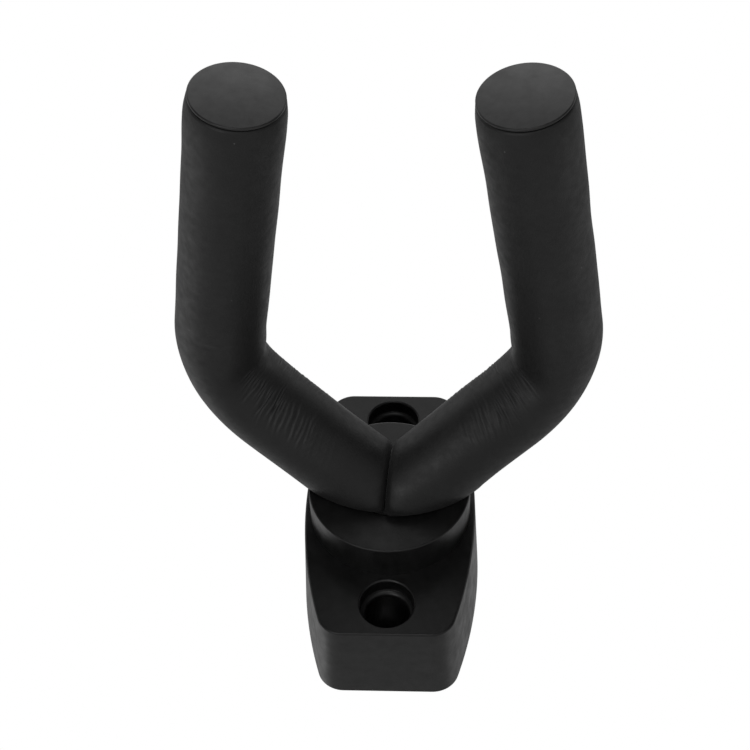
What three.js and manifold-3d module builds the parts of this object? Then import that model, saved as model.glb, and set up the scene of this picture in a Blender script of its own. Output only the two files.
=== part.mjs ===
// Wall guitar hanger: a padded steel yoke that swivels in a moulded wall base.
//
// Every sub-part is built in the hanger's own directions: x to the right, y up the wall and z out
// of the wall, with z = 0 on the wall. The exported group turns that so that +Z is up, the wall is
// the plane Y = 0 and the yoke points along -Y. Millimetres throughout.

import * as THREE from 'three';
import { mergeVertices } from 'three/addons/utils/BufferGeometryUtils.js';
import Module from 'manifold-3d';

const wasm = await Module();
wasm.setup();

// ---------------------------------------------------------------- driving dimensions

const GAP = 0.3; // between faces that touch on the real object
const FAR = 200; // reaches past the whole hanger, for cutters
const MERGE = 1; // how far pieces of one moulding run into each other before they are joined

const BASE = {
  thickness: 29,
  length: 85.2,
  widthMiddle: 49,
  widthEnd: 34.6,
  cornerRadius: 7.3,
  draftSide: 1.3, // how much wider the back edge is than the front edge, on each side
  draftEnd: 0.7, // and how much longer, at each end
  wall: 3,
  frontPlate: 4,
  rib: 2,
  ribFoot: 4, // height of the cross ribs' rear edges above the wall
  crossRib: 20, // distance of each cross rib from the centre
};

const BOSS = {
  radius: 23,
  height: 11.5,
  footRadius: 0.8,
  rimChamfer: 0.5,
  plate: 4,
};
const BOSS_FACE = BASE.thickness + BOSS.height;

const SCREW = {
  fromCentre: 32.5,
  lipRadius: 8,
  lipDepth: 0.5,
  boreRadius: 7.5,
  boreDepth: 4.5,
  deepRadius: 6,
  seatHeight: 7, // of the screw head's seat above the wall
  shankRadius: 2.6,
  tubeRadius: 9.6,
};

const PIVOT = {
  studRadius: 4,
  boreRadius: 6.3,
  tubeRadius: 12.5,
  tubeEnd: 17, // height of the pivot tube's rear end above the wall
  recessRadius: 10.6,
  recessDepth: 4.9,
};

const BUSH = { radius: 6, boreRadius: 4.2, length: 9, flangeRadius: 9.5, flange: 1.2 };
const HUB = { radius: 10.2, thickness: 3 };
const THRUST_WASHER = { radius: 9, boreRadius: 4.3, thickness: 1.5 };
const SPRING_WASHER = { radius: 7.2, boreRadius: 4.3, thickness: 2, split: 1 };
const NUT = { acrossFlats: 13, boreRadius: 4.3, height: 5.5, collarRadius: 5.9, collarHeight: 2.5 };
const NUT_RING = { boreRadius: 4.3, radius: 5.2, height: 1.4, setIn: 0.6 };
const STUD = { end: 1.5, chamfer: 0.8 }; // `end` is the height of its free end above the wall

const ROD_RADIUS = 4;
const ROD_SIDES = 12;
const ROD_STEPS = 60;

const FOAM = {
  radius: 12.4,
  sides: 20,
  steps: 32,
  runPast: 0.3, // how far the uncut sleeve runs past the vertex, as a share of the way to the elbow
};
const CAP = { radius: 11.8, thickness: 1.2, rim: 0.5, socketRadius: 5.6, socketLength: 9 };
const RIM_BULGE = 0.3; // how far the cap's rim rounds out, as a share of the rim's size

// The right arm's centre line: it leaves the vertex below the boss face, bends at the elbow and
// ends at the cap's outer face. The left arm mirrors it.
const ARM = {
  vertex: new THREE.Vector3(0, 0, 35.2),
  elbow: new THREE.Vector3(47.8, 17.7, 70.8),
  tip: new THREE.Vector3(33.6, 16.5, 169.6),
  elbowRadius: 31.6,
  saddleRadius: 15, // bend from the rod's flat saddle over the hub into each arm
};

const ROUND = 28; // sides of the round pieces of hardware
const LARGE_ROUND = 48; // sides of the boss

// ---------------------------------------------------------------- solids

// A closed manifold from any closed geometry: vertices merged, collapsed triangles dropped, and
// the winding turned over if the faces point in.
function solid(geometry) {
  const bare = geometry.clone();
  bare.deleteAttribute('normal');
  bare.deleteAttribute('uv');
  const merged = mergeVertices(bare, 1e-4);
  const vertProperties = new Float32Array(merged.attributes.position.array);
  const triVerts = [];
  const index = merged.index.array;
  for (let i = 0; i < index.length; i += 3) {
    const [a, b, c] = [index[i], index[i + 1], index[i + 2]];
    if (a !== b && b !== c && c !== a) triVerts.push(a, b, c);
  }
  if (signedVolume(vertProperties, triVerts) < 0) triVerts.reverse();
  return new wasm.Manifold(
    new wasm.Mesh({ numProp: 3, vertProperties, triVerts: new Uint32Array(triVerts) }),
  );
}

function signedVolume(positions, triangles) {
  const corner = (i) => new THREE.Vector3().fromArray(positions, 3 * i);
  let volume = 0;
  for (let i = 0; i < triangles.length; i += 3) {
    const [a, b, c] = [0, 1, 2].map((k) => corner(triangles[i + k]));
    volume += a.dot(b.cross(c)) / 6;
  }
  return volume;
}

function geometryOf(manifold) {
  const mesh = manifold.getMesh();
  const geometry = new THREE.BufferGeometry();
  geometry.setAttribute('position', new THREE.BufferAttribute(mesh.vertProperties, 3));
  geometry.setIndex(new THREE.BufferAttribute(mesh.triVerts, 1));
  geometry.computeVertexNormals();
  return geometry;
}

// A solid of revolution about z from [radius, z] points, closed on itself or on the axis.
function turned(points, sides = ROUND) {
  const profile = points.map(([radius, z]) => new THREE.Vector2(radius, z));
  return solid(new THREE.LatheGeometry(profile, sides).rotateX(Math.PI / 2));
}

function disc(radius, z0, z1, sides = ROUND) {
  return turned([[0, z0], [radius, z0], [radius, z1], [0, z1]], sides);
}

function ring(inner, outer, z0, z1, sides = ROUND) {
  return turned([[inner, z0], [outer, z0], [outer, z1], [inner, z1], [inner, z0]], sides);
}

function block(width, length, z0, z1, x = 0, y = 0) {
  const box = new THREE.BoxGeometry(width, length, z1 - z0);
  return solid(box.translate(x, y, (z0 + z1) / 2));
}

// ---------------------------------------------------------------- centre lines

// A circular bend that starts at `start` heading along `from` and ends heading along `to`.
class Bend extends THREE.Curve {
  constructor(start, from, to, radius) {
    super();
    this.start = start;
    this.from = from;
    this.radius = radius;
    this.angle = from.angleTo(to);
    this.inward = to.clone().addScaledVector(from, -from.dot(to)).normalize();
  }

  getPoint(t, target = new THREE.Vector3()) {
    const turn = this.angle * t;
    return target
      .copy(this.start)
      .addScaledVector(this.from, this.radius * Math.sin(turn))
      .addScaledVector(this.inward, this.radius * (1 - Math.cos(turn)));
  }
}

// Straight runs between the corners, joined by a circular bend at each inner corner.
function bentPath(corners, radii) {
  const path = new THREE.CurvePath();
  let from = corners[0];
  for (let i = 1; i < corners.length - 1; i += 1) {
    const before = corners[i].clone().sub(corners[i - 1]).normalize();
    const after = corners[i + 1].clone().sub(corners[i]).normalize();
    const radius = radii[i - 1];
    const setback = radius * Math.tan(before.angleTo(after) / 2);
    const start = corners[i].clone().addScaledVector(before, -setback);
    path.add(new THREE.LineCurve3(from, start));
    path.add(new Bend(start, before, after, radius));
    from = corners[i].clone().addScaledVector(after, setback);
  }
  path.add(new THREE.LineCurve3(from, corners[corners.length - 1]));
  return path;
}

function tube(path, radius, sides, steps) {
  const section = new THREE.Shape();
  for (let i = 0; i < sides; i += 1) {
    const angle = (2 * Math.PI * i) / sides;
    const [x, y] = [radius * Math.cos(angle), radius * Math.sin(angle)];
    if (i === 0) section.moveTo(x, y);
    else section.lineTo(x, y);
  }
  section.closePath();
  return solid(new THREE.ExtrudeGeometry(section, { steps, extrudePath: path, bevelEnabled: false }));
}

const mirrored = (point, side) => new THREE.Vector3(side * point.x, point.y, point.z);

function tipDirection(side) {
  return mirrored(ARM.tip, side).sub(mirrored(ARM.elbow, side)).normalize();
}

// The point on the arm's centre line that is `back` millimetres short of the cap's outer face.
function nearTip(side, back) {
  return mirrored(ARM.tip, side).addScaledVector(tipDirection(side), -back);
}

// ---------------------------------------------------------------- base moulding

// The barrel-shaped outline seen along z: two long side arcs, straight ends and round corners.
function baseOutline(offset) {
  const halfWidth = BASE.widthMiddle / 2;
  const halfLength = BASE.length / 2;
  const sagitta = (BASE.widthMiddle - BASE.widthEnd) / 2;
  const sideRadius = (halfLength ** 2 + sagitta ** 2) / (2 * sagitta);
  const sideCentre = halfWidth - sideRadius;
  const cornerY = halfLength - BASE.cornerRadius;
  const cornerX = sideCentre + Math.sqrt((sideRadius - BASE.cornerRadius) ** 2 - cornerY ** 2);
  const sideAngle = Math.atan2(cornerY, cornerX - sideCentre);
  const side = sideRadius + offset;
  const corner = BASE.cornerRadius + offset;
  const outline = new THREE.Shape();
  outline.absarc(sideCentre, 0, side, -sideAngle, sideAngle);
  outline.absarc(cornerX, cornerY, corner, sideAngle, Math.PI / 2);
  outline.absarc(-cornerX, cornerY, corner, Math.PI / 2, Math.PI - sideAngle);
  outline.absarc(-sideCentre, 0, side, Math.PI - sideAngle, Math.PI + sideAngle);
  outline.absarc(-cornerX, -cornerY, corner, Math.PI + sideAngle, 1.5 * Math.PI);
  outline.absarc(cornerX, -cornerY, corner, 1.5 * Math.PI, 2 * Math.PI - sideAngle);
  return outline;
}

function prism(offset, z0, z1) {
  const options = { depth: z1 - z0, bevelEnabled: false, curveSegments: 8 };
  return new THREE.ExtrudeGeometry(baseOutline(offset), options).translate(0, 0, z0);
}

// Widens a prism towards the wall, so that its sides have the moulding's draft.
function withDraft(geometry) {
  const position = geometry.attributes.position;
  for (let i = 0; i < position.count; i += 1) {
    const depth = 1 - position.getZ(i) / BASE.thickness;
    position.setX(i, position.getX(i) * (1 + (2 * BASE.draftSide * depth) / BASE.widthMiddle));
    position.setY(i, position.getY(i) * (1 + (2 * BASE.draftEnd * depth) / BASE.length));
  }
  return geometry;
}

// The round boss with a concave foot that runs out into the base's front face.
function boss() {
  const foot = BOSS.footRadius;
  const arcSteps = 4;
  const profile = [[0, BASE.thickness - BASE.frontPlate], [BOSS.radius + foot, BASE.thickness - MERGE]];
  for (let i = 0; i <= arcSteps; i += 1) {
    const angle = (Math.PI / 2) * (i / arcSteps);
    const radius = BOSS.radius + foot * (1 - Math.sin(angle));
    profile.push([radius, BASE.thickness + foot * (1 - Math.cos(angle))]);
  }
  profile.push([BOSS.radius, BOSS_FACE - BOSS.rimChamfer]);
  profile.push([BOSS.radius - BOSS.rimChamfer, BOSS_FACE]);
  profile.push([0, BOSS_FACE]);
  return turned(profile, LARGE_ROUND).intersect(solid(prism(0, 0, FAR)));
}

function screwHole(side) {
  const front = BASE.thickness;
  const taper = SCREW.boreRadius - SCREW.deepRadius;
  return turned([
    [0, -MERGE],
    [SCREW.shankRadius, -MERGE],
    [SCREW.shankRadius, SCREW.seatHeight],
    [SCREW.deepRadius, SCREW.seatHeight],
    [SCREW.deepRadius, front - SCREW.boreDepth - taper],
    [SCREW.boreRadius, front - SCREW.boreDepth],
    [SCREW.boreRadius, front - SCREW.lipDepth],
    [SCREW.lipRadius, front],
    [SCREW.lipRadius, BOSS_FACE],
    [0, BOSS_FACE],
  ]).translate([0, side * SCREW.fromCentre, 0]);
}

// What stands inside the hollow moulding: the tubes round the screws and the pivot, and ribs.
function innerStructure() {
  const top = BASE.thickness - MERGE;
  const halfWidth = BASE.widthMiddle / 2;
  const ribStart = PIVOT.tubeRadius - MERGE;
  let parts = ring(PIVOT.boreRadius, PIVOT.tubeRadius, PIVOT.tubeEnd, BOSS_FACE - MERGE);
  for (const side of [-1, 1]) {
    const centre = side * SCREW.fromCentre;
    parts = parts.add(disc(SCREW.tubeRadius, 0, top).translate([0, centre, 0]));
    const ribEnd = SCREW.fromCentre - SCREW.tubeRadius + MERGE;
    const lengthwiseMiddle = (side * (ribStart + ribEnd)) / 2;
    const crosswiseMiddle = (side * (ribStart + halfWidth)) / 2;
    parts = parts
      .add(block(BASE.rib, ribEnd - ribStart, PIVOT.tubeEnd, top, 0, lengthwiseMiddle))
      .add(block(halfWidth - ribStart, BASE.rib, PIVOT.tubeEnd, top, crosswiseMiddle, 0))
      .add(block(BASE.widthMiddle, BASE.rib, BASE.ribFoot, top, 0, side * BASE.crossRib));
  }
  return parts;
}

function hollow() {
  const room = solid(withDraft(prism(-BASE.wall, -MERGE, BASE.thickness - BASE.frontPlate)));
  const bossRoom = disc(BOSS.radius - BASE.wall, MERGE, BOSS_FACE - BOSS.plate, LARGE_ROUND);
  return room.add(bossRoom).subtract(innerStructure());
}

function baseBody() {
  const shell = solid(withDraft(prism(0, 0, BASE.thickness)));
  const recess = disc(PIVOT.recessRadius, BOSS_FACE - PIVOT.recessDepth, FAR);
  return shell
    .add(boss())
    .subtract(hollow())
    .subtract(screwHole(1))
    .subtract(screwHole(-1))
    .subtract(disc(PIVOT.boreRadius, MERGE, FAR))
    .subtract(recess);
}

// ---------------------------------------------------------------- swivel hardware

// A flanged bush whose flange is at z = 0 to -flange and whose barrel runs on to +length.
function bush() {
  return turned([
    [BUSH.boreRadius, -BUSH.flange],
    [BUSH.flangeRadius, -BUSH.flange],
    [BUSH.flangeRadius, 0],
    [BUSH.radius, 0],
    [BUSH.radius, BUSH.length],
    [BUSH.boreRadius, BUSH.length],
    [BUSH.boreRadius, -BUSH.flange],
  ]);
}

const RECESS_FLOOR = BOSS_FACE - PIVOT.recessDepth;
const HUB_BACK = RECESS_FLOOR + GAP + BUSH.flange + GAP;
const HUB_FRONT = HUB_BACK + HUB.thickness;
const THRUST_TOP = PIVOT.tubeEnd - GAP - BUSH.flange - GAP;
const SPRING_TOP = THRUST_TOP - THRUST_WASHER.thickness - GAP;
const NUT_TOP = SPRING_TOP - SPRING_WASHER.thickness - GAP;

function frontBush() {
  return bush().rotate([180, 0, 0]).translate([0, 0, RECESS_FLOOR + GAP]);
}

function rearBush() {
  return bush().translate([0, 0, PIVOT.tubeEnd - GAP]);
}

function pivotStud() {
  return turned([
    [0, STUD.end],
    [PIVOT.studRadius - STUD.chamfer, STUD.end],
    [PIVOT.studRadius, STUD.end + STUD.chamfer],
    [PIVOT.studRadius, HUB_BACK - GAP],
    [0, HUB_BACK - GAP],
  ]);
}

function thrustWasher() {
  const { boreRadius, radius, thickness } = THRUST_WASHER;
  return ring(boreRadius, radius, THRUST_TOP - thickness, THRUST_TOP);
}

function springWasher() {
  const { boreRadius, radius, thickness, split } = SPRING_WASHER;
  const whole = ring(boreRadius, radius, SPRING_TOP - thickness, SPRING_TOP);
  return whole.subtract(block(split, radius, 0, BASE.thickness, 0, boreRadius / 2 + radius / 2));
}

// The nylon ring in the nut's collar, or with a clearance the groove that holds it.
function nutRing(clearance) {
  const { boreRadius, radius, height, setIn } = NUT_RING;
  const bottom = NUT_TOP - NUT.height - NUT.collarHeight + setIn - clearance;
  const top = bottom + height + 2 * clearance;
  return ring(boreRadius - clearance, radius + clearance, bottom, top);
}

function lockNut() {
  const hexRadius = NUT.acrossFlats / Math.sqrt(3);
  const bottom = NUT_TOP - NUT.height;
  return disc(hexRadius, bottom, NUT_TOP, 6)
    .add(disc(NUT.collarRadius, bottom - NUT.collarHeight, bottom + MERGE))
    .subtract(disc(NUT.boreRadius, 0, FAR))
    .subtract(nutRing(GAP));
}

// ---------------------------------------------------------------- yoke

const CAP_BACK = CAP.thickness + GAP; // how far short of the cap's face the sleeve and rod end
const SADDLE_HEIGHT = HUB_FRONT + GAP + ROD_RADIUS;

// The corner where an arm's straight line meets the height of the rod's flat saddle.
function saddleCorner(side) {
  const vertex = mirrored(ARM.vertex, side);
  const slope = mirrored(ARM.elbow, side).sub(vertex);
  return vertex.addScaledVector(slope, (SADDLE_HEIGHT - ARM.vertex.z) / slope.z);
}

// One steel rod from tip to tip: arm, elbow, flat saddle on the hub, elbow, arm.
function rodPath(tipSetback) {
  const { elbowRadius, saddleRadius } = ARM;
  const corners = [
    nearTip(-1, tipSetback),
    mirrored(ARM.elbow, -1),
    saddleCorner(-1),
    saddleCorner(1),
    mirrored(ARM.elbow, 1),
    nearTip(1, tipSetback),
  ];
  return bentPath(corners, [elbowRadius, saddleRadius, saddleRadius, elbowRadius]);
}

function rodSolid(radius, tipSetback) {
  return tube(rodPath(tipSetback), radius, ROD_SIDES, ROD_STEPS);
}

// A short round bar along an arm's end, from `back0` to `back1` short of the cap's outer face.
function tipBar(side, radius, back0, back1) {
  const path = new THREE.LineCurve3(nearTip(side, back1), nearTip(side, back0));
  return tube(path, radius, ROUND, 1);
}

// A foam sleeve: cut flat where it lies on the boss face and mitred where it meets the other one,
// with the rod's channel through it and a wider mouth for the cap's socket.
function foamSleeve(side) {
  const elbow = mirrored(ARM.elbow, side);
  const corners = [
    mirrored(ARM.vertex, side).lerp(elbow, -FOAM.runPast),
    elbow,
    nearTip(side, CAP_BACK),
  ];
  const path = bentPath(corners, [ARM.elbowRadius]);
  const room = block(FAR, FAR, BOSS_FACE + GAP, FAR, side * (FAR / 2 + GAP / 2), 0);
  const socketMouth = CAP.socketLength + 2 * GAP;
  return tube(path, FOAM.radius, FOAM.sides, FOAM.steps)
    .intersect(room)
    .subtract(rodSolid(ROD_RADIUS + GAP, 0))
    .subtract(tipBar(side, CAP.socketRadius + GAP, 0, CAP.thickness + socketMouth));
}

// A cap along +z with its outer face at z = 0: the disc and the socket that takes the rod's end.
function endCap() {
  const back = -CAP.thickness;
  const bore = ROD_RADIUS + GAP;
  return turned([
    [0, 0],
    [0, back],
    [bore, back],
    [bore, back - CAP.socketLength],
    [CAP.socketRadius, back - CAP.socketLength],
    [CAP.socketRadius, back],
    [CAP.radius, back],
    [CAP.radius, -CAP.rim],
    [CAP.radius - CAP.rim * RIM_BULGE, -CAP.rim * RIM_BULGE],
    [CAP.radius - CAP.rim, 0],
    [0, 0],
  ]);
}

// ---------------------------------------------------------------- scene graph

const plastic = { color: 0x1b1b1c, roughness: 0.5, metalness: 0 };
const foam = { color: 0x242425, roughness: 0.95, metalness: 0 };
const nylon = { color: 0xe6e2d6, roughness: 0.45, metalness: 0 };
const steel = { color: 0x9a9a9c, roughness: 0.35, metalness: 1 };
const blackSteel = { color: 0x2a2a2c, roughness: 0.5, metalness: 1 };

const hanger = new THREE.Group();

function addPart(name, geometry, look) {
  const mesh = new THREE.Mesh(geometry, new THREE.MeshStandardMaterial(look));
  mesh.name = name;
  hanger.add(mesh);
  return mesh;
}

addPart('base_body', geometryOf(baseBody()), plastic);
addPart('pivot_bush_front', geometryOf(frontBush()), nylon);
addPart('pivot_bush_rear', geometryOf(rearBush()), nylon);
addPart('hub_plate', geometryOf(disc(HUB.radius, HUB_BACK, HUB_FRONT)), blackSteel);
addPart('pivot_stud', geometryOf(pivotStud()), steel);
addPart('thrust_washer', geometryOf(thrustWasher()), steel);
addPart('spring_washer', geometryOf(springWasher()), blackSteel);
addPart('lock_nut', geometryOf(lockNut()), steel);
addPart('lock_nut_ring', geometryOf(nutRing(0)), nylon);
addPart('fork_rod', geometryOf(rodSolid(ROD_RADIUS, CAP_BACK)), blackSteel);

for (const [side, hand] of [[-1, 'left'], [1, 'right']]) {
  addPart(`foam_sleeve_${hand}`, geometryOf(foamSleeve(side)), foam);
  const cap = addPart(`end_cap_${hand}`, geometryOf(endCap()), plastic);
  cap.position.copy(mirrored(ARM.tip, side));
  cap.quaternion.setFromUnitVectors(new THREE.Vector3(0, 0, 1), tipDirection(side));
}

hanger.rotation.x = Math.PI / 2;

export default hanger;
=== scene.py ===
"""Wall guitar hanger: the looks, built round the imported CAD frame.

Shapes are worked out in the hanger's own directions, in millimetres: x to the right, y up the
wall, z out of the wall with z = 0 on the wall. `place` turns them into the frame's metres.
"""

import math

import bmesh
import bpy
import numpy as np
from mathutils import Matrix, Vector


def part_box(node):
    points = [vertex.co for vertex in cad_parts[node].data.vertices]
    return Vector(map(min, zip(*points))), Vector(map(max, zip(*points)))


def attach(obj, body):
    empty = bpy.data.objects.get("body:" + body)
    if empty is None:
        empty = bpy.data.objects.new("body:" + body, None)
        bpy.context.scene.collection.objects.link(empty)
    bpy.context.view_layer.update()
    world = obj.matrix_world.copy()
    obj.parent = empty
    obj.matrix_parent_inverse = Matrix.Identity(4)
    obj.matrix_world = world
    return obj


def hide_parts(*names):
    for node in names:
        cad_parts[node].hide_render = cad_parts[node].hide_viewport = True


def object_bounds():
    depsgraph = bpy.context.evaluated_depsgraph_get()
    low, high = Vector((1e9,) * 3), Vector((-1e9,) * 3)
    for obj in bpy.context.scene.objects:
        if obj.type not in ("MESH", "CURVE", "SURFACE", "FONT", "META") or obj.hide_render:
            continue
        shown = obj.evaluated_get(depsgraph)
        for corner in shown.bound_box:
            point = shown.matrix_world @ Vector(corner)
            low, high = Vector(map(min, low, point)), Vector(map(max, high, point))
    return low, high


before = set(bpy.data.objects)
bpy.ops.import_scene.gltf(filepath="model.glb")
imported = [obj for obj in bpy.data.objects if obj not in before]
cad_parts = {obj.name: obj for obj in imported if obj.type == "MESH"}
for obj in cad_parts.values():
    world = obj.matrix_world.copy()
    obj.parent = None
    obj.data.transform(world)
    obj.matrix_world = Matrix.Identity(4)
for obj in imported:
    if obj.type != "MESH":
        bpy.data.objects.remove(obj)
cad_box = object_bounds()

MM = 0.001
# Turns the hanger's own directions into the frame's: right is +X, up the wall +Z, out of it -Y.
TO_FRAME = Matrix(((MM, 0, 0, 0), (0, 0, -MM, 0), (0, MM, 0, 0), (0, 0, 0, 1)))


def cad_extent(node, axis):
    """Lowest and highest millimetre of a CAD node along its own x, y or z."""
    low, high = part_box(node)
    row_axis, sign = {"x": (0, 1), "y": (2, 1), "z": (1, -1)}[axis]
    ends = sorted((sign * low[row_axis] / MM, sign * high[row_axis] / MM))
    return ends[0], ends[1]


# ---------------------------------------------------------------- driving sizes, millimetres

BOSS_FACE = cad_extent("base_body", "z")[1]
BOSS_RADIUS = 23.0
BOSS_PLATE = 4.0
BASE_THICKNESS = 29.0
BASE_HALF_LENGTH = 42.6
BASE_HALF_WIDTH = 24.5
BASE_HALF_END = 17.3
BASE_CORNER = 7.3
DRAFT_END = cad_extent("base_body", "y")[1] - BASE_HALF_LENGTH
DRAFT_SIDE = cad_extent("base_body", "x")[1] - BASE_HALF_WIDTH
WALL = 3.0
FRONT_PLATE = 4.0
RIB = 2.0
CROSS_RIB_Y = 20.0
CROSS_RIB_FOOT = 4.0
CROSS_RIB_LENGTH = 60.0  # longer than the room is wide

SCREW_Y = 32.5
SCREW_TUBE = 9.6
SEAT_HEIGHT = 7.0
PIVOT_TUBE = 12.5
PIVOT_BORE = 6.3
PIVOT_TUBE_END = 17.0
RECESS_RADIUS = 10.6
RECESS_DEPTH = 4.9

FOAM_RADIUS = 12.4
ROD_RADIUS = 4.0
CAP_RADIUS = 11.8
CAP_THICKNESS = 1.2
SOCKET_RADIUS = 5.6
SOCKET_LENGTH = 9.0
WASHER_BORE = 4.3
GAP = 0.3

SEAM_LEAN = 0.11  # sideways lean of the seam between the sleeves, per millimetre up the wall

# The right arm's centre line, as in the CAD: vertex below the boss face, elbow, cap face.
VERTEX = np.array((0.0, 0.0, 35.2))
ELBOW = np.array((47.8, 17.7, 70.8))
TIP = np.array((33.6, 16.5, 169.6))
BEND_RADIUS = 31.6


# ---------------------------------------------------------------- mesh helpers


def make_object(name, points, faces):
    """A mesh object from millimetre points in the hanger's own directions."""
    mesh = bpy.data.meshes.new(name)
    mesh.from_pydata([tuple(p) for p in points], [], [tuple(f) for f in faces])
    mesh.update()
    obj = bpy.data.objects.new(name, mesh)
    bpy.context.scene.collection.objects.link(obj)
    return obj


def place(obj):
    """Turns a finished millimetre mesh into the frame's metres."""
    obj.data.transform(TO_FRAME)
    obj.data.update()


def grid_faces(rows, columns):
    """Quads of a grid of vertices numbered row by row, closed round each row."""
    faces = []
    for r in range(rows - 1):
        for c in range(columns):
            n = (c + 1) % columns
            a, b = r * columns, (r + 1) * columns
            faces.append((a + c, a + n, b + n, b + c))
    return faces


def joining_faces(rows, columns):
    """Quads that join a grid's last row to its first."""
    last = (rows - 1) * columns
    return [(last + c, last + (c + 1) % columns, (c + 1) % columns, c) for c in range(columns)]


def fan_faces(rows, columns):
    """Triangles from a grid's first and last rows to the two points that follow the grid."""
    first, end, last = rows * columns, rows * columns + 1, (rows - 1) * columns
    faces = [(first, (c + 1) % columns, c) for c in range(columns)]
    return faces + [(end, last + c, last + (c + 1) % columns) for c in range(columns)]


def turned(name, profile, sides=96):
    """A solid of revolution about z: the profile is [radius, z] points that start and end on the
    axis, or close on themselves when `profile` ends where it starts."""
    closed = profile[0] == profile[-1]
    rings = profile[:-1] if closed else profile[1:-1]
    angles = 2 * math.pi * np.arange(sides) / sides
    points = [(r * math.cos(a), r * math.sin(a), z) for r, z in rings for a in angles]
    faces = grid_faces(len(rings), sides)
    if closed:
        faces += joining_faces(len(rings), sides)
    else:
        points += [(0, 0, profile[0][1]), (0, 0, profile[-1][1])]
        faces += fan_faces(len(rings), sides)
    obj = make_object(name, points, faces)
    face_out(obj)
    return obj


def face_out(obj):
    """Turns every face outwards."""
    work = bmesh.new()
    work.from_mesh(obj.data)
    bmesh.ops.remove_doubles(work, verts=work.verts, dist=1e-5)
    bmesh.ops.recalc_face_normals(work, faces=work.faces)
    if work.calc_volume(signed=True) < 0:
        bmesh.ops.reverse_faces(work, faces=work.faces)
    work.to_mesh(obj.data)
    work.free()


def bake_modifiers(obj):
    """Replaces the object's mesh by what its modifiers make of it."""
    depsgraph = bpy.context.evaluated_depsgraph_get()
    mesh = bpy.data.meshes.new_from_object(obj.evaluated_get(depsgraph))
    obj.modifiers.clear()
    obj.data = mesh


def combine(obj, cutter, operation):
    """Boolean of obj with a cutter, which is used up."""
    modifier = obj.modifiers.new("boolean", "BOOLEAN")
    modifier.operation = operation
    modifier.object = cutter
    modifier.solver = "EXACT"
    bake_modifiers(obj)
    bpy.data.objects.remove(cutter)
    return obj


def quarter(centre, radius, start, end, steps=6):
    """Points [r, z] of an arc about `centre` between two angles in degrees."""
    angles = np.radians(np.linspace(start, end, steps + 1))
    return [[centre[0] + radius * math.cos(a), centre[1] + radius * math.sin(a)] for a in angles]


def smooth(obj, angle=32):
    """Smooth shading that keeps hard edges sharp and flat faces flat."""
    mesh = obj.data
    mesh.shade_smooth()
    mesh.set_sharp_from_angle(angle=math.radians(angle))
    weighted = obj.modifiers.new("weighted_normals", "WEIGHTED_NORMAL")
    weighted.keep_sharp = True
    weighted.weight = 60


def block(name, width, length, z0, z1, x=0.0, y=0.0):
    """A rectangular bar, used only to build or cut other shapes."""
    signs = ((-1, -1), (1, -1), (1, 1), (-1, 1))
    corners = [(sx * width / 2 + x, sy * length / 2 + y) for sx, sy in signs]
    points = [(cx, cy, z) for z in (z0, z1) for cx, cy in corners]
    obj = make_object(name, points, grid_faces(2, 4) + [(0, 1, 2, 3), (4, 5, 6, 7)])
    face_out(obj)
    return obj


# ---------------------------------------------------------------- base moulding


def base_outline(offset, side_steps=40, corner_steps=12):
    """The base's barrel-shaped outline, moved outwards by `offset`."""
    sagitta = BASE_HALF_WIDTH - BASE_HALF_END
    side_radius = (BASE_HALF_LENGTH**2 + sagitta**2) / (2 * sagitta)
    side_centre = BASE_HALF_WIDTH - side_radius
    corner_y = BASE_HALF_LENGTH - BASE_CORNER
    corner_x = side_centre + math.sqrt((side_radius - BASE_CORNER) ** 2 - corner_y**2)
    turn = math.atan2(corner_y, corner_x - side_centre)

    def arc(cx, cy, radius, a0, a1, steps):
        angles = np.linspace(a0, a1, steps, endpoint=False)
        return [(cx + radius * math.cos(a), cy + radius * math.sin(a)) for a in angles]

    side, corner, half_turn = side_radius + offset, BASE_CORNER + offset, math.pi / 2
    points = arc(side_centre, 0, side, -turn, turn, side_steps)
    points += arc(corner_x, corner_y, corner, turn, half_turn, corner_steps)
    points += [(corner_x, corner_y + corner)]
    points += arc(-corner_x, corner_y, corner, half_turn, math.pi - turn, corner_steps)
    points += arc(-side_centre, 0, side, math.pi - turn, math.pi + turn, side_steps)
    points += arc(-corner_x, -corner_y, corner, math.pi + turn, 3 * half_turn, corner_steps)
    points += [(-corner_x, -corner_y - corner)]
    points += arc(corner_x, -corner_y, corner, 3 * half_turn, 4 * half_turn - turn, corner_steps)
    return points


def outline_solid(name, levels, drafted=True):
    """A solid through the outline at each (offset, z) level, wider and longer towards the wall."""
    points, count = [], 0
    for offset, z in levels:
        ring = base_outline(offset)
        count = len(ring)
        depth = 1 - z / BASE_THICKNESS if drafted else 0
        wider = 1 + DRAFT_SIDE * depth / BASE_HALF_WIDTH
        longer = 1 + DRAFT_END * depth / BASE_HALF_LENGTH
        points += [(wider * x, longer * y, z) for x, y in ring]
    faces = grid_faces(len(levels), count)
    last = (len(levels) - 1) * count
    faces += [tuple(range(count)), tuple(range(last, last + count))]
    obj = make_object(name, points, faces)
    face_out(obj)
    return obj


def base_block():
    """The drafted block with a rounded front edge and a small chamfer at the wall."""
    edge, chamfer = 0.6, 0.25
    levels = [(-chamfer, 0), (0, chamfer), (0, 10), (0, 20)]
    levels += quarter((-edge, BASE_THICKNESS - edge), edge, 0, 90)
    return outline_solid("base_shell", levels)


def boss():
    """The round boss with a rounded rim, trimmed by the block's sides."""
    rim, bottom = 0.45, BASE_THICKNESS - FRONT_PLATE
    profile = [[0, bottom], [BOSS_RADIUS, bottom]]
    profile += quarter((BOSS_RADIUS - rim, BOSS_FACE - rim), rim, 0, 90)
    profile += [[0, BOSS_FACE]]
    raw = turned("boss", profile, 160)
    trim = outline_solid("trim", [(-0.02, 10), (-0.02, 60)], drafted=False)
    return combine(raw, trim, "INTERSECT")


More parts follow.
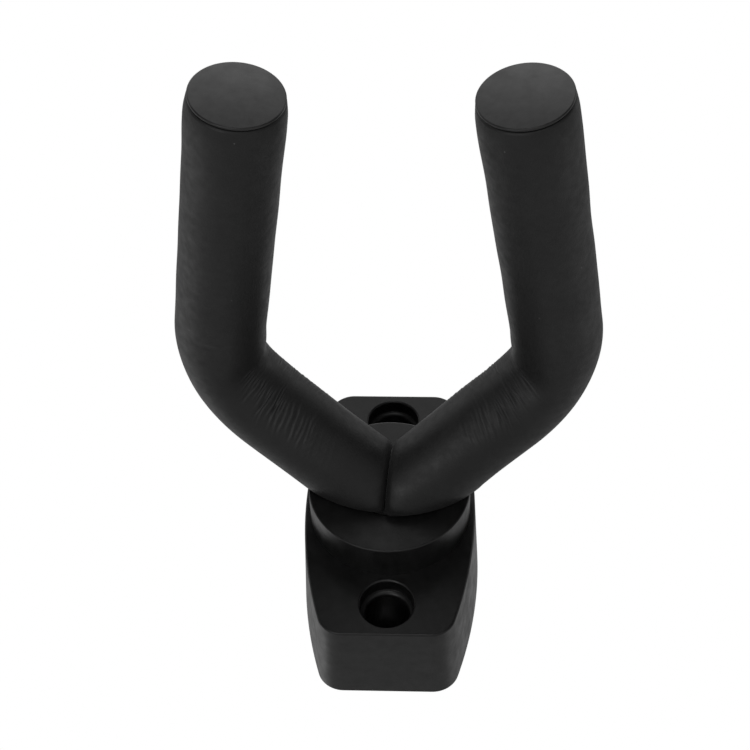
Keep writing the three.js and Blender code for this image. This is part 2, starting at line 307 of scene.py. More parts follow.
def screw_hole(side):
    """Counterbore with a rounded lip and a rounded ledge, down to the screw's seat and its shank
    hole, which has a small chamfer."""
    lip, bore, bore_depth, deep, shank = 0.6, 7.5, 4.3, 6.0, 2.6
    chamfer, corner = 0.3, 0.4
    top = BASE_THICKNESS
    profile = [[0, -1], [shank, -1], [shank, SEAT_HEIGHT - chamfer], [shank + chamfer, SEAT_HEIGHT]]
    profile += quarter((deep - corner, SEAT_HEIGHT + corner), corner, 270, 360, 3)
    ledge = bore - deep
    profile += quarter((bore, top - bore_depth - ledge), ledge, 180, 93, 9)
    profile += [[bore, top - bore_depth + 0.1], [bore, top - lip]]
    profile += quarter((bore + lip, top - lip), lip, 180, 98, 6)
    profile += [[bore + lip, BOSS_FACE + 5], [0, BOSS_FACE + 5]]
    hole = turned("screw_hole", profile)
    hole.data.transform(Matrix.Translation((0, side * SCREW_Y, 0)))
    return hole


def pivot_hole():
    """The pivot tube's bore, opened out into the recess for the hub plate."""
    floor, chamfer = BOSS_FACE - RECESS_DEPTH, 0.4
    profile = [[0, 5], [PIVOT_BORE, 5], [PIVOT_BORE, floor], [RECESS_RADIUS, floor]]
    profile += [[RECESS_RADIUS, BOSS_FACE - chamfer], [RECESS_RADIUS + chamfer, BOSS_FACE + 0.01]]
    profile += [[RECESS_RADIUS + chamfer, BOSS_FACE + 5], [0, BOSS_FACE + 5]]
    return turned("pivot_hole", profile)


def hollow():
    """The room inside the moulding, less the tubes and ribs that stand in it."""
    room = outline_solid("room", [(-WALL, -1), (-WALL, BASE_THICKNESS - FRONT_PLATE)])
    inner, ceiling = BOSS_RADIUS - WALL, BOSS_FACE - BOSS_PLATE
    ring = turned("boss_room", [[0, 2], [inner, 2], [inner, ceiling], [0, ceiling]], 128)
    combine(room, ring, "UNION")
    low, chamfer, taper = PIVOT_TUBE_END, 0.4, 0.2
    tube = [[0, low], [PIVOT_TUBE - chamfer, low], [PIVOT_TUBE, low + chamfer]]
    tube += [[PIVOT_TUBE + taper, BOSS_FACE], [0, BOSS_FACE]]
    combine(room, turned("pivot_tube", tube), "DIFFERENCE")
    for side in (-1, 1):
        leave_screw_tube_and_ribs(room, side)
    return room


def leave_screw_tube_and_ribs(room, side):
    """Takes one end's screw tube and ribs out of the room, so that they stay in the moulding."""
    high, taper = BASE_THICKNESS, 0.15
    tube = [[0, -2], [SCREW_TUBE, -2], [SCREW_TUBE + taper, high], [0, high]]
    screw_tube = turned("screw_tube", tube)
    screw_tube.data.transform(Matrix.Translation((0, side * SCREW_Y, 0)))
    combine(room, screw_tube, "DIFFERENCE")
    rib_start, rib_end = PIVOT_TUBE - 1, SCREW_Y - SCREW_TUBE + 1
    middle, length = side * (rib_start + rib_end) / 2, rib_end - rib_start
    rib = block("rib", RIB, length, PIVOT_TUBE_END, high, 0, middle)
    combine(room, rib, "DIFFERENCE")
    middle, length = side * (rib_start + BASE_HALF_WIDTH) / 2, BASE_HALF_WIDTH - rib_start
    rib = block("rib", length, RIB, PIVOT_TUBE_END, high, middle, 0)
    combine(room, rib, "DIFFERENCE")
    rib = block("rib", CROSS_RIB_LENGTH, RIB, CROSS_RIB_FOOT, high, 0, side * CROSS_RIB_Y)
    combine(room, rib, "DIFFERENCE")


def build_base():
    shell = base_block()
    combine(shell, boss(), "UNION")
    combine(shell, hollow(), "DIFFERENCE")
    combine(shell, pivot_hole(), "DIFFERENCE")
    for side in (-1, 1):
        combine(shell, screw_hole(side), "DIFFERENCE")
    face_out(shell)
    return shell


# ---------------------------------------------------------------- foam sleeves


class ArmLine:
    """The centre line of one arm: straight from the vertex, a circular bend, straight to the tip."""

    def __init__(self, side):
        mirror = np.array((side, 1.0, 1.0))
        self.side = side
        self.start = VERTEX * mirror
        elbow, tip = ELBOW * mirror, TIP * mirror
        self.first = (elbow - self.start) / np.linalg.norm(elbow - self.start)
        self.second = (tip - elbow) / np.linalg.norm(tip - elbow)
        self.angle = math.acos(self.first @ self.second)
        setback = BEND_RADIUS * math.tan(self.angle / 2)
        self.bend_start = np.linalg.norm(elbow - self.start) - setback
        self.bend_end = self.bend_start + BEND_RADIUS * self.angle
        self.middle = (self.bend_start + self.bend_end) / 2
        self.length = self.bend_end + np.linalg.norm(tip - elbow) - setback
        across = self.second - (self.second @ self.first) * self.first
        self.across = across / np.linalg.norm(across)
        self.binormal = np.cross(self.first, self.across)

    def centre(self, s):
        """The points at distances s along the line."""
        s = np.asarray(s, float)
        turn = np.clip((s - self.bend_start) / BEND_RADIUS, 0, self.angle)[..., None]
        first_part = np.minimum(s, self.bend_start)[..., None] * self.first
        bend = BEND_RADIUS * (np.sin(turn) * self.first + (1 - np.cos(turn)) * self.across)
        last_part = np.maximum(s - self.bend_end, 0)[..., None] * self.second
        return self.start + first_part + bend + last_part

    def outward(self, s, angle):
        """Directions away from the line at distances s, turned by `angle` from the bend's inside."""
        s = np.asarray(s, float)
        turn = np.clip((s - self.bend_start) / BEND_RADIUS, 0, self.angle)[..., None]
        inward = -np.sin(turn) * self.first + np.cos(turn) * self.across
        return np.cos(angle)[..., None] * inward + np.sin(angle)[..., None] * self.binormal


def bell(x, width):
    return np.exp(-((x / width) ** 2))


def ease(x):
    x = np.clip(x, 0, 1)
    return x * x * (3 - 2 * x)


def angle_from(angle, centre):
    """How far round an angle is from `centre`, between minus and plus half a turn."""
    return (angle - centre + math.pi) % (2 * math.pi) - math.pi


def waves(s, angle, seed):
    """Slow unevenness of a soft surface, between about -1 and 1."""
    count, longest = 10, 60.0
    random = np.random.default_rng(seed)
    total = np.zeros(np.broadcast(s, angle).shape)
    for _ in range(count):
        along = 2 * math.pi / (longest * random.uniform(0.2, 1.0))
        round_it = random.integers(0, 4)
        phase = random.uniform(0, 2 * math.pi, 2)
        total += np.cos(along * s + phase[0]) * np.cos(round_it * angle + phase[1])
    return total / math.sqrt(count)


def wrinkles(s, angle, line, seed):
    """Fine crosswise creases beside the inside of the bend, each an arc part of the way round,
    leaning towards the tip on the side nearer the inside."""
    random = np.random.default_rng(seed)
    total = np.zeros(np.broadcast(s, angle).shape)
    from_middle = s - line.middle
    for half, share in ((line.side, 1.0), (-line.side, 0.5)):
        position = 4.0
        while position > -38:
            position -= random.uniform(1.1, 1.5)
            strength = share * random.uniform(0.6, 1.0) * bell(position + 14, 18)
            centre = half * math.radians(random.uniform(20, 38) - 0.3 * position)
            reach = math.radians(random.uniform(13, 25))
            lean = -random.uniform(3.0, 4.0)
            offset = half * angle_from(angle, centre)
            middle = position + lean * offset - 2.5 * offset**2
            middle = middle + 0.15 * np.sin(9 * offset + random.uniform(0, 6))
            distance = from_middle - middle
            ridge = bell(distance, 0.30) - 0.8 * bell(distance - 0.56, 0.30)
            total += strength * bell(offset, reach) * ridge
    return total


def pinch(s, angle, line):
    """How far the foam's inside is drawn in at the elbow, where it folds instead of curving."""
    inner_radius = BEND_RADIUS - FOAM_RADIUS
    half = line.angle / 2
    from_middle = np.clip(s - line.middle, -half * BEND_RADIUS, half * BEND_RADIUS) / BEND_RADIUS
    softened = np.sqrt(from_middle**2 + 0.11**2)
    depth = inner_radius * (1 / np.cos(np.clip(half - softened, 0, half)) - 1)
    return depth * ease((np.cos(angle) - 0.15) / 0.8)


def sleeve_radius(s, angle, line):
    """The foam's outer radius along the arm and round it; angle 0 is the inside of the bend."""
    side = line.side
    radius = FOAM_RADIUS + 0.10 * waves(s, angle, 11 + side)
    radius = radius - pinch(s, angle, line)
    bulge = bell(np.abs(s - line.middle) - 9, 6) * ease((np.cos(angle) + 0.2) / 1.2)
    radius = radius + 0.2 * bulge
    radius = radius + 0.3 * wrinkles(s, angle, line, 5 + side)
    if side < 0:
        crease = s - (line.middle + 21 + 1.5 * np.cos(2 * angle))
        long_crease = -bell(crease, 0.35) + 0.5 * bell(crease - 0.8, 0.5)
        radius = radius + 0.16 * long_crease * bell(angle_from(angle, math.radians(-80)), 0.35)
    to_tip = line.length - CAP_THICKNESS - GAP - s
    radius = radius + 0.12 * bell(to_tip - 9, 6) - 0.45 * bell(to_tip, 2.5)
    sag = 1.8 if side > 0 else -0.2
    return radius - sag * line.outward(s, angle)[..., 1] * ease((42 - s) / 40)


def sleeve_start(radius, angle, line):
    """Where a line along the sleeve's surface meets the mitre or the boss face, eased between.
    The mitre leans a little to the left towards the lower end of the base."""
    out = line.outward(0.0, angle)
    middle_gap, face = line.side * 0.06, BOSS_FACE + GAP + 0.1
    normal = np.array((1.0, -SEAM_LEAN, 0.0)) / math.hypot(1, SEAM_LEAN)
    centre = line.start @ normal
    to_mitre = (middle_gap - centre - radius * (out @ normal)) / (line.first @ normal)
    to_face = (face - VERTEX[2] - radius * out[..., 2]) / line.first[2]
    corner = 1.4
    return 0.5 * (to_mitre + to_face + np.sqrt((to_mitre - to_face) ** 2 + corner**2))


def sleeve_inside(line, angle, end, round_off):
    """Rows (distance, radius) of the bore from the tip to the vertex, then of the end face."""
    bore = ROD_RADIUS + 0.5
    rows = [(s, bore) for s in np.linspace(end - SOCKET_LENGTH - 1, 30, 12)]
    for share in np.linspace(0, 1, 6):
        radius = bore + share * (FOAM_RADIUS - round_off - bore)
        rows.append((sleeve_start(np.full(len(angle), radius), angle, line), radius))
    return rows


def sleeve_outside(line, angle, end, round_off):
    """Rows (distance, radius) of the rounded lower edge and the outside, up to the tip's lip. They
    are closest together where the fine creases are."""
    outer = sleeve_radius(np.full(len(angle), 20.0), angle, line)
    rows = []
    for turn in np.radians(np.linspace(10, 90, 8)):
        radius = outer - round_off * (1 - math.sin(turn))
        rows.append((sleeve_start(radius, angle, line) + round_off * (1 - math.cos(turn)), radius))
    join, straight = rows[-1][0], 32.0
    starts = [join + share * (straight - join) for share in np.linspace(0, 1, 44)[1:]]
    fine_end = line.middle + 16
    starts += [np.full(len(angle), s) for s in np.arange(straight + 0.25, fine_end, 0.25)]
    starts += [np.full(len(angle), s) for s in np.arange(fine_end, end - 2.5, 0.9)]
    rows += [(s, sleeve_radius(s, angle, line)) for s in starts]
    lip = 0.8
    for turn in np.radians(np.linspace(0, 90, 8)):
        s = end - lip + lip * math.sin(turn)
        radius = sleeve_radius(np.full(len(angle), s), angle, line) - lip * (1 - math.cos(turn))
        rows.append((s, radius))
    return rows


def sleeve_socket(end):
    """Rows (distance, radius) of the tip's end face and the room for the end cap's socket."""
    room = SOCKET_RADIUS + 0.3
    return [(end, 9.0), (end, room), (end - SOCKET_LENGTH - 0.6, room)]


def build_sleeve(side, hand):
    """One foam sleeve. Its attribute "crease" holds how deep its creases are, for their painted
    highlight and shade, less a painted shade beside the seam.
    """
    line = ArmLine(side)
    columns, round_off = 128, 1.2
    angle = 2 * math.pi * np.arange(columns) / columns
    end = line.length - CAP_THICKNESS - GAP
    inside = sleeve_inside(line, angle, end, round_off)
    rows = inside + sleeve_outside(line, angle, end, round_off) + sleeve_socket(end)
    s = np.array([np.broadcast_to(distance, columns) for distance, _ in rows], float)
    r = np.array([np.broadcast_to(radius, columns) for _, radius in rows], float)
    points = (line.centre(s) + r[..., None] * line.outward(s, angle)).reshape(-1, 3)
    faces = grid_faces(len(rows), columns) + joining_faces(len(rows), columns)
    obj = make_object(f"foam_sleeve_{hand}_skin", points, faces)
    from_seam = s - inside[-1][0]
    # Painted shade: a dark band beside the seam between the sleeves, taken off the crease depth.
    seam = 2.0 * bell(from_seam, 1.8) + 0.5 * bell(from_seam, 5.0)
    depth = wrinkles(s, angle, line, 5 + side) - seam
    crease = obj.data.attributes.new("crease", "FLOAT", "POINT")
    crease.data.foreach_set("value", depth.astype(np.float32).ravel())
    face_out(obj)
    obj.data.shade_smooth()
    return obj


# ---------------------------------------------------------------- end caps


def tip_matrix(side):
    """From a cap along +z, with its face at z = 0, to its place on the arm's tip."""
    line = ArmLine(side)
    turn = Vector((0, 0, 1)).rotation_difference(Vector(line.second))
    return Matrix.Translation(Vector(TIP * (side, 1, 1))) @ turn.to_matrix().to_4x4()


def build_cap(side, hand):
    """A disc with a rounded rim and a very slight dome, and the socket that grips the rod."""
    rim = 0.35
    bore = ROD_RADIUS + GAP
    dome = 0.4
    flat = CAP_RADIUS - rim
    profile = [[0, 0]]
    profile += [[flat * share, -dome * share**2] for share in np.linspace(0, 1, 7)[1:-1]]
    profile += [[r, z] for r, z in quarter((flat, -rim - dome), rim, 90, 0, 8)]
    profile += [[CAP_RADIUS, -CAP_THICKNESS + 0.2], [CAP_RADIUS - 0.2, -CAP_THICKNESS]]
    profile += [[SOCKET_RADIUS, -CAP_THICKNESS], [SOCKET_RADIUS, -CAP_THICKNESS - SOCKET_LENGTH]]
    profile += [[bore, -CAP_THICKNESS - SOCKET_LENGTH], [bore, -CAP_THICKNESS], [0, -CAP_THICKNESS]]
    cap = turned(f"end_cap_{hand}_moulding", profile, 112)
    cap.data.transform(tip_matrix(side))
    return cap


# ---------------------------------------------------------------- swivel hardware


def threaded_stud():
    """The stud's free end with a rolled thread, below a plain shank."""
    low, high = cad_extent("pivot_stud", "z")
    pitch, depth, thread_length, columns = 1.25, 0.62, 16, 72
    radius = cad_extent("pivot_stud", "x")[1]
    thread_top = low + thread_length
    levels = np.concatenate((np.arange(low + 0.5, thread_top, pitch / 10), [thread_top + 0.5, high]))
    angle = 2 * math.pi * np.arange(columns) / columns
    points = []
    for z in levels:
        phase = (z / pitch - angle / (2 * math.pi)) % 1.0
        groove = np.clip(1.25 * (1 - np.abs(2 * phase - 1)) - 0.12, 0, 1)
        fade = ease((thread_top - z) / 1.5) * ease((z - low + 0.2) / 1.4)
        chamfer = 0.8 * (1 - ease((z - low) / 1.6))
        r = radius - depth * groove * fade - chamfer
        points += [(r[c] * math.cos(angle[c]), r[c] * math.sin(angle[c]), z) for c in range(columns)]
    points += [(0, 0, low), (0, 0, high)]
    faces = grid_faces(len(levels), columns) + fan_faces(len(levels), columns)
    stud = make_object("pivot_stud_thread", points, faces)
    face_out(stud)
    return stud


def lock_nut():
    """A chamfered hexagon with the rounded collar that holds the nylon ring."""
    low, high = cad_extent("lock_nut", "z")
    flats = cad_extent("lock_nut", "x")[1]
    corner = flats / math.cos(math.pi / 6)
    shoulder = low + 2.5
    hexagon = turned("lock_nut_body", [[0, shoulder], [corner, shoulder], [corner, high], [0, high]], 6)
    hexagon.data.transform(Matrix.Rotation(math.pi / 6, 4, "Z"))
    cone, washer_face = (corner - flats) * 0.62, flats - 0.1
    trim = [[0, shoulder - 1], [washer_face, shoulder - 1], [washer_face, shoulder]]
    trim += [[corner, shoulder + cone], [corner, high - cone], [washer_face, high]]
    trim += [[washer_face, high + 1], [0, high + 1]]
    combine(hexagon, turned("trim", trim), "INTERSECT")
    collar, bend = 5.9, 0.9
    ring = [[0, low], [collar - bend, low]]
    ring += quarter((collar - bend, low + bend), bend, 270, 360, 5)
    ring += [[collar, shoulder + 1], [0, shoulder + 1]]
    combine(hexagon, turned("collar", ring), "UNION")
    mouth, seat, thread, chamfered = 4.6, 5.35, 4.25, 4.8
    bore = [[0, low - 1], [mouth, low - 1], [mouth, low + 0.3], [seat, low + 0.3], [seat, low + 2.2]]
    bore += [[thread, low + 2.4], [thread, high - 0.6], [chamfered, high + 0.01]]
    bore += [[chamfered, high + 1], [0, high + 1]]
    combine(hexagon, turned("bore", bore), "DIFFERENCE")
    face_out(hexagon)
    return hexagon


def ring_like(node, name, edge):
    """A flat ring with rounded edges, of the size of a ring-shaped CAD node on the stud."""
    low, high = cad_extent(node, "z")
    outer = cad_extent(node, "x")[1]
    profile = quarter((outer - edge, low + edge), edge, 270, 360, 3)
    profile += quarter((outer - edge, high - edge), edge, 0, 90, 3)
    profile += quarter((WASHER_BORE + edge, high - edge), edge, 90, 180, 3)
    profile += quarter((WASHER_BORE + edge, low + edge), edge, 180, 270, 3)
    return turned(name, profile + [profile[0]])


def split_washer():
    """A spring washer: a square-section coil of one turn with a small step at its split."""
    low, high = cad_extent("spring_washer", "z")
    outer = cad_extent("spring_washer", "x")[1]
    inner, edge = WASHER_BORE, 0.15
    thick = (high - low) * 0.84
    rise = (high - low) - thick
    section = []
    for cr, cz, a0 in ((outer - edge, edge, 270), (outer - edge, thick - edge, 0),
                       (inner + edge, thick - edge, 90), (inner + edge, edge, 180)):
        section += quarter((cr, cz), edge, a0, a0 + 90, 3)
    turns = np.radians(np.linspace(95, 445, 90))
    points = []
    for t in turns:
        lift = low + rise * (t - turns[0]) / (turns[-1] - turns[0])
        points += [(r * math.cos(t), r * math.sin(t), z + lift) for r, z in section]
    count, rows = len(section), len(turns)
    faces = grid_faces(rows, count)
    faces += [tuple(range(count)), tuple(range((rows - 1) * count, rows * count))]
    washer = make_object("spring_washer_coil", points, faces)
    face_out(washer)
    return washer


def flanged_bush(node, name, flange_first):
    """A nylon bush of the CAD node's size, with softened edges."""
    low, high = cad_extent(node, "z")
    flange, flange_radius, barrel, bore, edge = 1.2, 9.5, 6.0, 4.2, 0.25
    profile = [[bore + edge, 0], [flange_radius - edge, 0], [flange_radius, edge]]
    profile += [[flange_radius, flange - edge], [flange_radius - edge, flange], [barrel, flange]]
    length = high - low
    profile += [[barrel, length - edge], [barrel - edge, length], [bore + edge, length]]
    profile += [[bore, length - edge], [bore, edge], [bore + edge, 0]]
    bush = turned(name, profile)
    if flange_first:
        bush.data.transform(Matrix.Translation((0, 0, low)))
    else:
        bush.data.transform(Matrix.Translation((0, 0, high)) @ Matrix.Scale(-1, 4, (0, 0, 1)))
        face_out(bush)
    return bush


# ---------------------------------------------------------------- materials


class Nodes:
    """A short way to write a material's node tree."""

    def __init__(self, name):
        self.material = bpy.data.materials.new(name)
        self.material.use_nodes = True
        self.tree = self.material.node_tree
        self.shader = self.tree.nodes["Principled BSDF"]
        self.place = self.add("ShaderNodeTexCoord").outputs["Object"]

    def add(self, kind, **values):
        node = self.tree.nodes.new(kind)
        for key, value in values.items():
            if key in node.inputs:
                self.feed(node.inputs[key], value)
            else:
                setattr(node, key, value)
        return node

    def feed(self, socket, value):
        if isinstance(value, bpy.types.NodeSocket):
            self.tree.links.new(value, socket)
        else:
            socket.default_value = value

    def set(self, **values):
        for key, value in values.items():
            self.feed(self.shader.inputs[key.replace("_", " ")], value)

    def noise(self, scale, detail=3.0, roughness=0.55, where=None):
        node = self.add("ShaderNodeTexNoise", Vector=where or self.place, Scale=scale)
        node.inputs["Detail"].default_value = detail
        node.inputs["Roughness"].default_value = roughness
        return node.outputs["Fac"]

    def cells(self, scale):
        """Distance to the nearest of many scattered points."""
        node = self.add("ShaderNodeTexVoronoi", feature="F1", Vector=self.place, Scale=scale)
        return node.outputs["Distance"]

    def stretched(self, x, y, z):
        node = self.add("ShaderNodeMapping", Vector=self.place)
        node.inputs["Scale"].default_value = (x, y, z)
        return node.outputs["Vector"]

    def span(self, value, low, high, to_low, to_high):
        """Maps low..high to to_low..to_high, clamped."""
        node = self.add("ShaderNodeMapRange", Value=value)
        names = ("From Min", "From Max", "To Min", "To Max")
        for name, number in zip(names, (low, high, to_low, to_high)):
            node.inputs[name].default_value = number
        return node.outputs["Result"]

    def math(self, operation, a, b):
        node = self.add("ShaderNodeMath", operation=operation)
        self.feed(node.inputs[0], a)
        self.feed(node.inputs[1], b)
        return node.outputs["Value"]

    def mix(self, factor, a, b):
        node = self.add("ShaderNodeMix", data_type="RGBA")
        self.feed(node.inputs["Factor"], factor)
        self.feed(node.inputs[6], a)
        self.feed(node.inputs[7], b)
        return node.outputs[2]

    def bump(self, height, strength, distance, normal=None):
        node = self.add("ShaderNodeBump", Height=height, Strength=strength, Distance=distance)
        if normal is not None:
            self.feed(node.inputs["Normal"], normal)
        return node.outputs["Normal"]


def grey(value):
    return (value, value, value, 1)


def foam_material():
    """Closed-cell foam: a dull black skin with fine pores, faint mottling and specks of dust. The
    ridges of its creases are lighter, a painted highlight, and their valleys and the seam darker,
    a painted shade, and duller."""
    n = Nodes("foam_skin")
    mottle = n.span(n.noise(90, 4), 0.3, 0.7, 0, 1)
    colour = n.mix(mottle, grey(0.0075), grey(0.0112))
    crease = n.add("ShaderNodeAttribute", attribute_name="crease").outputs["Fac"]
    # Painted highlight: the creases' ridges are lighter.
    colour = n.mix(n.span(crease, 0.05, 0.6, 0, 0.7), colour, grey(0.030))
    # Painted shade: the creases' valleys and the skin beside the seam are darker.
    colour = n.mix(n.span(crease, -0.05, -0.6, 0, 0.6), colour, grey(0.002))
    near = n.span(n.cells(210), 0.03, 0.055, 1, 0)
    chosen = n.math("GREATER_THAN", n.noise(150, 0), 0.62)
    speck = n.math("MULTIPLY", n.math("MULTIPLY", near, chosen), 0.5)
    colour = n.mix(speck, colour, grey(0.16))
    skin = n.bump(n.cells(2600), 0.16, 0.00012)
    skin = n.bump(n.noise(1900, 4, 0.7), 0.30, 0.00016, skin)
    rough = n.span(n.noise(420, 3), 0.3, 0.7, 0.42, 0.56)
    rough = n.math("ADD", rough, n.span(crease, -0.2, -1.3, 0, 0.45))
    n.set(Base_Color=colour, Roughness=rough, Normal=skin)
    n.set(Sheen_Weight=0.06, Sheen_Roughness=0.3, Specular_IOR_Level=0.5)
    return n.material


def plastic_material(name, shade, low, high, texture, scratches):
    """Moulded black plastic: fine spark texture, uneven gloss and a few hairline marks."""
    n = Nodes(name)
    wide = n.span(n.noise(70, 3), 0.3, 0.7, 0.4, 1)
    cloud = n.math("MULTIPLY", wide, n.span(n.noise(420, 4), 0.3, 0.7, 0.2, 1))
    hair = n.span(n.noise(1.0, 2, 0.6, n.stretched(260, 3200, 900)), 0.69, 0.75, 0, 1)
    hair = n.math("MULTIPLY", hair, n.span(n.noise(130, 1), 0.5, 0.62, 0, scratches))
    colour = n.mix(cloud, grey(shade * 0.5), grey(shade * 1.9))
    colour = n.mix(hair, colour, grey(shade * 4))
    rough = n.span(n.noise(240, 4), 0.3, 0.7, low, high)
    rough = n.math("ADD", rough, n.math("MULTIPLY", hair, 0.15))
    skin = n.bump(n.noise(2400, 3, 0.6), texture, 0.00010)
    skin = n.bump(n.noise(45, 2), 0.12, 0.0009, skin)
    n.set(Base_Color=colour, Roughness=rough, Normal=skin, Specular_IOR_Level=0.5)
    return n.material


def zinc_material():
    """Zinc plate: slightly cloudy, with fine drawing lines."""
    n = Nodes("zinc_plate")
    shade = 0.62
    cloud = n.span(n.noise(220, 4), 0.3, 0.7, 0, 1)
    n.set(Base_Color=n.mix(cloud, grey(shade * 0.82), grey(shade)), Metallic=1.0)
    lines = n.noise(1.0, 3, 0.6, n.stretched(900, 5200, 900))
    n.set(Roughness=n.span(lines, 0.3, 0.7, 0.26, 0.42), Normal=n.bump(lines, 0.12, 0.00005))
    return n.material


def coated_material():
    """Black powder coat with a faint orange peel."""
    n = Nodes("black_coat")
    peel = n.noise(900, 2)
    cloud = n.span(n.noise(120), 0.3, 0.7, 0, 1)
    n.set(Base_Color=n.mix(cloud, grey(0.02), grey(0.032)))
    n.set(Roughness=n.span(n.noise(400), 0.3, 0.7, 0.38, 0.5), Normal=n.bump(peel, 0.2, 0.0001))
    return n.material


def nylon_material():
    """Natural nylon: milky, slightly uneven."""
    n = Nodes("nylon")
    cloud = n.span(n.noise(180, 3), 0.3, 0.7, 0, 1)
    n.set(Base_Color=n.mix(cloud, (0.66, 0.62, 0.52, 1), (0.76, 0.73, 0.64, 1)))
    n.set(Roughness=n.span(n.noise(500), 0.3, 0.7, 0.36, 0.5), Subsurface_Weight=0.15)
    n.shader.inputs["Subsurface Radius"].default_value = (0.002, 0.002, 0.0015)
    n.set(Normal=n.bump(n.noise(1600, 2), 0.08, 0.00008))
    return n.material


# ---------------------------------------------------------------- camera, light, floor

# The studio's soft light: where each part of it comes from, its strength, how narrow it is.
AMBIENT = 0.045
SOFT_LIGHT = {
    "backdrop": ((0, -0.2, 1), 1.25, 14.0),
    "backdrop_high": ((0, -0.62, 1), 1.5, 14.0),
    "backdrop_left": ((-0.8, -0.15, 0.6), 1.1, 12.0),
    "backdrop_right": ((0.8, -0.05, 0.6), 1.0, 14.0),
    "wall_left": ((-1, 1, 0), 1.0, 8.0),
    "wall_left_near": ((-0.6, 0.76, -0.3), 1.2, 40.0),
    "wall_right": ((1, 1, 0), 0.6, 8.0),
    "wall_right_near": ((0.6, 0.76, -0.3), 0.5, 40.0),
    "wall_far": ((0, 1, 1), 0.75, 10.0),
}
# Two lamps in the room: where they are from the hanger's middle, their size and their power.
LAMPS = {
    "room_left": ((-0.25, -0.26, -0.47), 0.20, 0.35),
    "room_front": ((-0.02, -0.66, -0.18), 0.12, 0.32),
}


def add_camera():
    """Below and in front of the hanger, looking up at it; out of the wall is up in the picture."""
    target = Vector((-0.00547, -0.0418, 0.03987))
    aside, lift, roll, distance = 0.06595, 0.86023, -0.04035, 0.50797
    level = math.cos(lift)
    back = Vector((math.sin(aside) * level, -math.sin(lift), -math.cos(aside) * level))
    out_of_wall = Vector((0, -1, 0))
    right = (-back).cross(out_of_wall).normalized()
    up = right.cross(-back)
    rolled_right = math.cos(roll) * right + math.sin(roll) * up
    rolled_up = math.cos(roll) * up - math.sin(roll) * right
    data = bpy.data.cameras.new("camera")
    data.sensor_width = 36.0
    data.lens = 81.6
    data.clip_start, data.clip_end = 0.01, 10
    camera = bpy.data.objects.new("camera", data)
    turn = Matrix((rolled_right, rolled_up, back)).transposed().to_4x4()
    camera.matrix_world = Matrix.Translation(target + distance * back) @ turn
    bpy.context.scene.collection.objects.link(camera)
    bpy.context.scene.camera = camera


def add_lamp(name, offset, size, power):
    """A square lamp that faces the hanger's middle."""
    data = bpy.data.lights.new(name, "AREA")
    data.shape = "SQUARE"
    data.size = size
    data.energy = power
    lamp = bpy.data.objects.new(name, data)
    offset = Vector(offset)
    lamp.location = (cad_box[0] + cad_box[1]) / 2 + offset
    lamp.rotation_euler = (-offset).to_track_quat("-Z", "Y").to_euler()
    lamp.visible_camera = False
    bpy.context.scene.collection.objects.link(lamp)


def add_world():
    """A white surround for the camera. The light itself is a dim studio with a bright backdrop
    behind the hanger's upper end and soft light from both sides of the wall."""
    world = bpy.data.worlds.new("studio")
    bpy.context.scene.world = world
    world.use_nodes = True
    tree = world.node_tree
    tree.nodes.clear()
    link = tree.links.new
    coordinates = tree.nodes.new("ShaderNodeTexCoord").outputs["Generated"]

    def math_node(operation, a, b):
        node = tree.nodes.new("ShaderNodeMath")
        node.operation = operation
        link(a, node.inputs[0])
        if isinstance(b, float):
            node.inputs[1].default_value = b
        else:
            link(b, node.inputs[1])
        return node.outputs["Value"]

    total = None
    for direction, strength, spread in SOFT_LIGHT.values():
        facing = tree.nodes.new("ShaderNodeVectorMath")
        facing.operation = "DOT_PRODUCT"
        link(coordinates, facing.inputs[0])
        facing.inputs[1].default_value = Vector(direction).normalized()
        lobe = math_node("POWER", math_node("MAXIMUM", facing.outputs["Value"], 0.0), spread)
        lobe = math_node("MULTIPLY", lobe, strength)
        total = math_node("ADD", lobe, AMBIENT if total is None else total)
    light = tree.nodes.new("ShaderNodeBackground")
    link(total, light.inputs["Strength"])
    seen = tree.nodes.new("ShaderNodeBackground")
    seen.inputs["Color"].default_value = (1, 1, 1, 1)
    mix = tree.nodes.new("ShaderNodeMixShader")
    link(tree.nodes.new("ShaderNodeLightPath").outputs["Is Camera Ray"], mix.inputs["Fac"])
    link(light.outputs["Background"], mix.inputs[1])
    link(seen.outputs["Background"], mix.inputs[2])
    link(mix.outputs["Shader"], tree.nodes.new("ShaderNodeOutputWorld").inputs["Surface"])


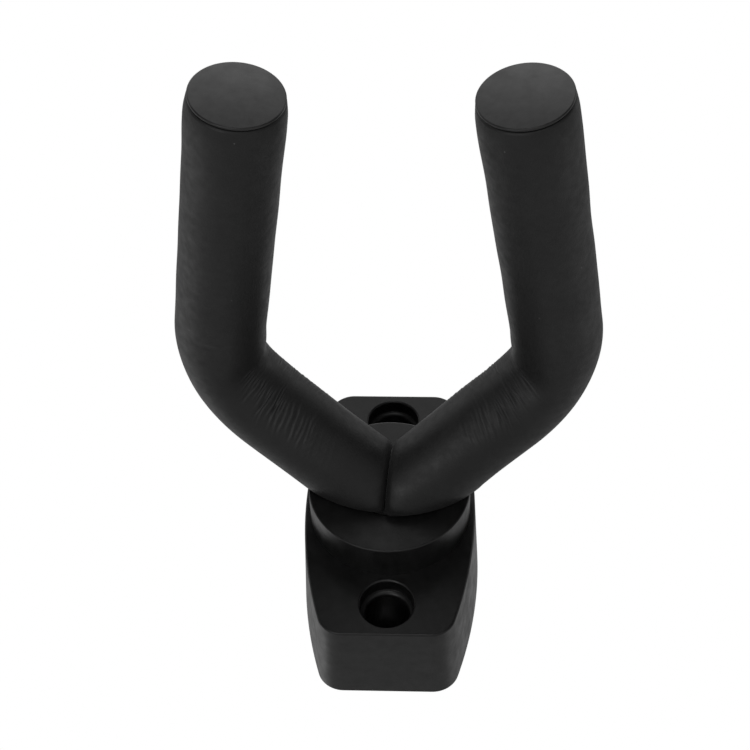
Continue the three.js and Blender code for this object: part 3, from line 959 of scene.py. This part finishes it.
def add_floor():
    """A pale floor well below the wall hanger."""
    drop, half = 0.8, 4.0
    signs = ((-1, -1), (1, -1), (1, 1), (-1, 1))
    floor = make_object("floor", [(sx * half, sy * half, -drop) for sx, sy in signs], [(0, 1, 2, 3)])
    n = Nodes("floor_paint")
    n.set(Base_Color=n.mix(n.noise(3, 2), grey(0.60), grey(0.66)), Roughness=0.8)
    floor.data.materials.append(n.material)


# ---------------------------------------------------------------- putting it together


def finish_piece(obj, body, nodes, material, sharp=32):
    """Places a piece in the frame, shades it, and ties it to its body, CAD nodes and finish."""
    place(obj)
    if sharp:
        smooth(obj, sharp)
    obj.data.materials.clear()
    obj.data.materials.append(material)
    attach(obj, body)
    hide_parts(*nodes)


def repaint(node, material):
    for place_in_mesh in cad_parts[node].material_slots:
        place_in_mesh.material = material


add_camera()
add_world()
add_floor()
for lamp, settings in LAMPS.items():
    add_lamp(lamp, *settings)
foam = foam_material()
base_plastic = plastic_material("base_plastic", 0.006, 0.30, 0.46, 0.2, 0.6)
cap_plastic = plastic_material("cap_plastic", 0.021, 0.28, 0.42, 0.06, 0.2)
zinc = zinc_material()
coat = coated_material()
nylon = nylon_material()

finish_piece(build_base(), "base", ["base_body"], base_plastic)
bush = flanged_bush("pivot_bush_rear", "rear_bush", True)
finish_piece(bush, "base", ["pivot_bush_rear"], nylon)
bush = flanged_bush("pivot_bush_front", "front_bush", False)
finish_piece(bush, "base", ["pivot_bush_front"], nylon)

finish_piece(threaded_stud(), "fork", ["pivot_stud"], zinc, 50)
finish_piece(lock_nut(), "fork", ["lock_nut"], zinc)
ring = ring_like("lock_nut_ring", "lock_nut_insert", 0.15)
finish_piece(ring, "fork", ["lock_nut_ring"], nylon)
ring = ring_like("thrust_washer", "flat_washer", 0.2)
finish_piece(ring, "fork", ["thrust_washer"], zinc)
finish_piece(split_washer(), "fork", ["spring_washer"], coat)

for side, hand in ((-1, "left"), (1, "right")):
    sleeve = build_sleeve(side, hand)
    finish_piece(sleeve, "fork", [f"foam_sleeve_{hand}"], foam, None)
    cap = build_cap(side, hand)
    finish_piece(cap, "fork", [f"end_cap_{hand}"], cap_plastic)

repaint("hub_plate", coat)
repaint("fork_rod", coat)

bpy.context.scene.view_settings.view_transform = "Standard"
